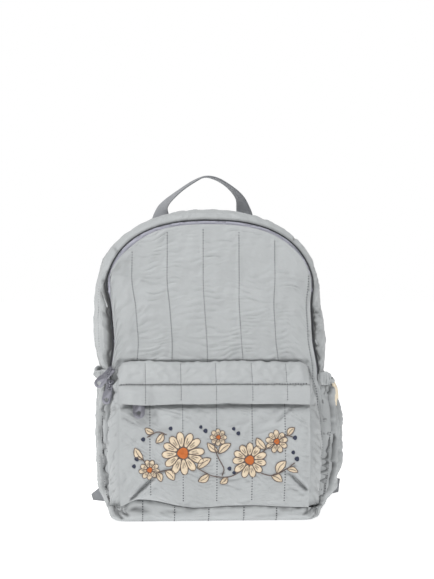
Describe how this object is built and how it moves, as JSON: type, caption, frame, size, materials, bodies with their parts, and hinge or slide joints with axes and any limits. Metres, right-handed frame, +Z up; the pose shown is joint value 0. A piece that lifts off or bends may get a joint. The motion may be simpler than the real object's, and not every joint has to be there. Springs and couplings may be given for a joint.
{
  "type": "quilted puffer backpack",
  "caption": "Child's padded backpack with vertical quilting, an arched main zip, a front pocket with a flap, side pouches, a webbing handle and padded shoulder straps.",
  "frame": {"origin": "centre of the base's underside, on the surface that the bag stands on", "axes": "+X to the right of the front face, -Y out of the front, +Z up to the handle"},
  "size_m": [0.2859, 0.1724, 0.3889],
  "materials": {
    "quilted_fabric": "soft crinkled nylon over wadding",
    "webbing": "woven tape",
    "zip_tape": "fine woven tape",
    "zip_coil": "nylon coil",
    "zip_metal": "satin paint",
    "adjuster_plastic": "moulded",
    "label_cloth": "cotton tape"
  },
  "bodies": {
    "bag": {"front_panel": "quilted_fabric", "main_gusset": "quilted_fabric", "back_panel": "quilted_fabric", "base_panel": "quilted_fabric", "main_zip_tape": "zip_tape", "main_zip_coil": "zip_coil", "pocket_front_panel": "quilted_fabric", "pocket_upper_panel": "quilted_fabric", "pocket_flap": "quilted_fabric", "pocket_gusset_left": "quilted_fabric", "pocket_gusset_right": "quilted_fabric", "pocket_zip_tape": "zip_tape", "pocket_zip_coil": "zip_coil", "side_pocket_left": "quilted_fabric", "side_pocket_band_left": "quilted_fabric", "side_pocket_right": "quilted_fabric", "side_pocket_band_right": "quilted_fabric", "side_label": "label_cloth", "main_slider_upper": "zip_metal", "main_slider_lower": "zip_metal", "pocket_slider": "zip_metal", "carry_handle": "webbing", "shoulder_strap_left": "quilted_fabric", "strap_adjuster_left": "adjuster_plastic", "strap_webbing_left": "webbing", "strap_anchor_left": "webbing", "shoulder_strap_right": "quilted_fabric", "strap_adjuster_right": "adjuster_plastic", "strap_webbing_right": "webbing", "strap_anchor_right": "webbing"},
    "upper_pull": {"main_pull_upper": "zip_metal"},
    "lower_pull": {"main_pull_lower": "zip_metal"},
    "front_pull": {"pocket_pull": "zip_metal"}
  },
  "joints": [
    {"name": "upper_pull_swing", "type": "hinge", "parent": "bag", "child": "upper_pull", "pos_m": [-0.11676, -0.05326, 0.16398], "axis": [-0.7314, 0, 0.682], "range_deg": [0, 140]},
    {"name": "lower_pull_swing", "type": "hinge", "parent": "bag", "child": "lower_pull", "pos_m": [-0.11627, -0.05326, 0.14997], "axis": [-0.9781, 0, 0.2079], "range_deg": [0, 140]},
    {"name": "front_pull_swing", "type": "hinge", "parent": "bag", "child": "front_pull", "pos_m": [-0.0845, -0.07877, 0.13975], "axis": [-1, 0, 0], "range_deg": [0, 12]}
  ]
}
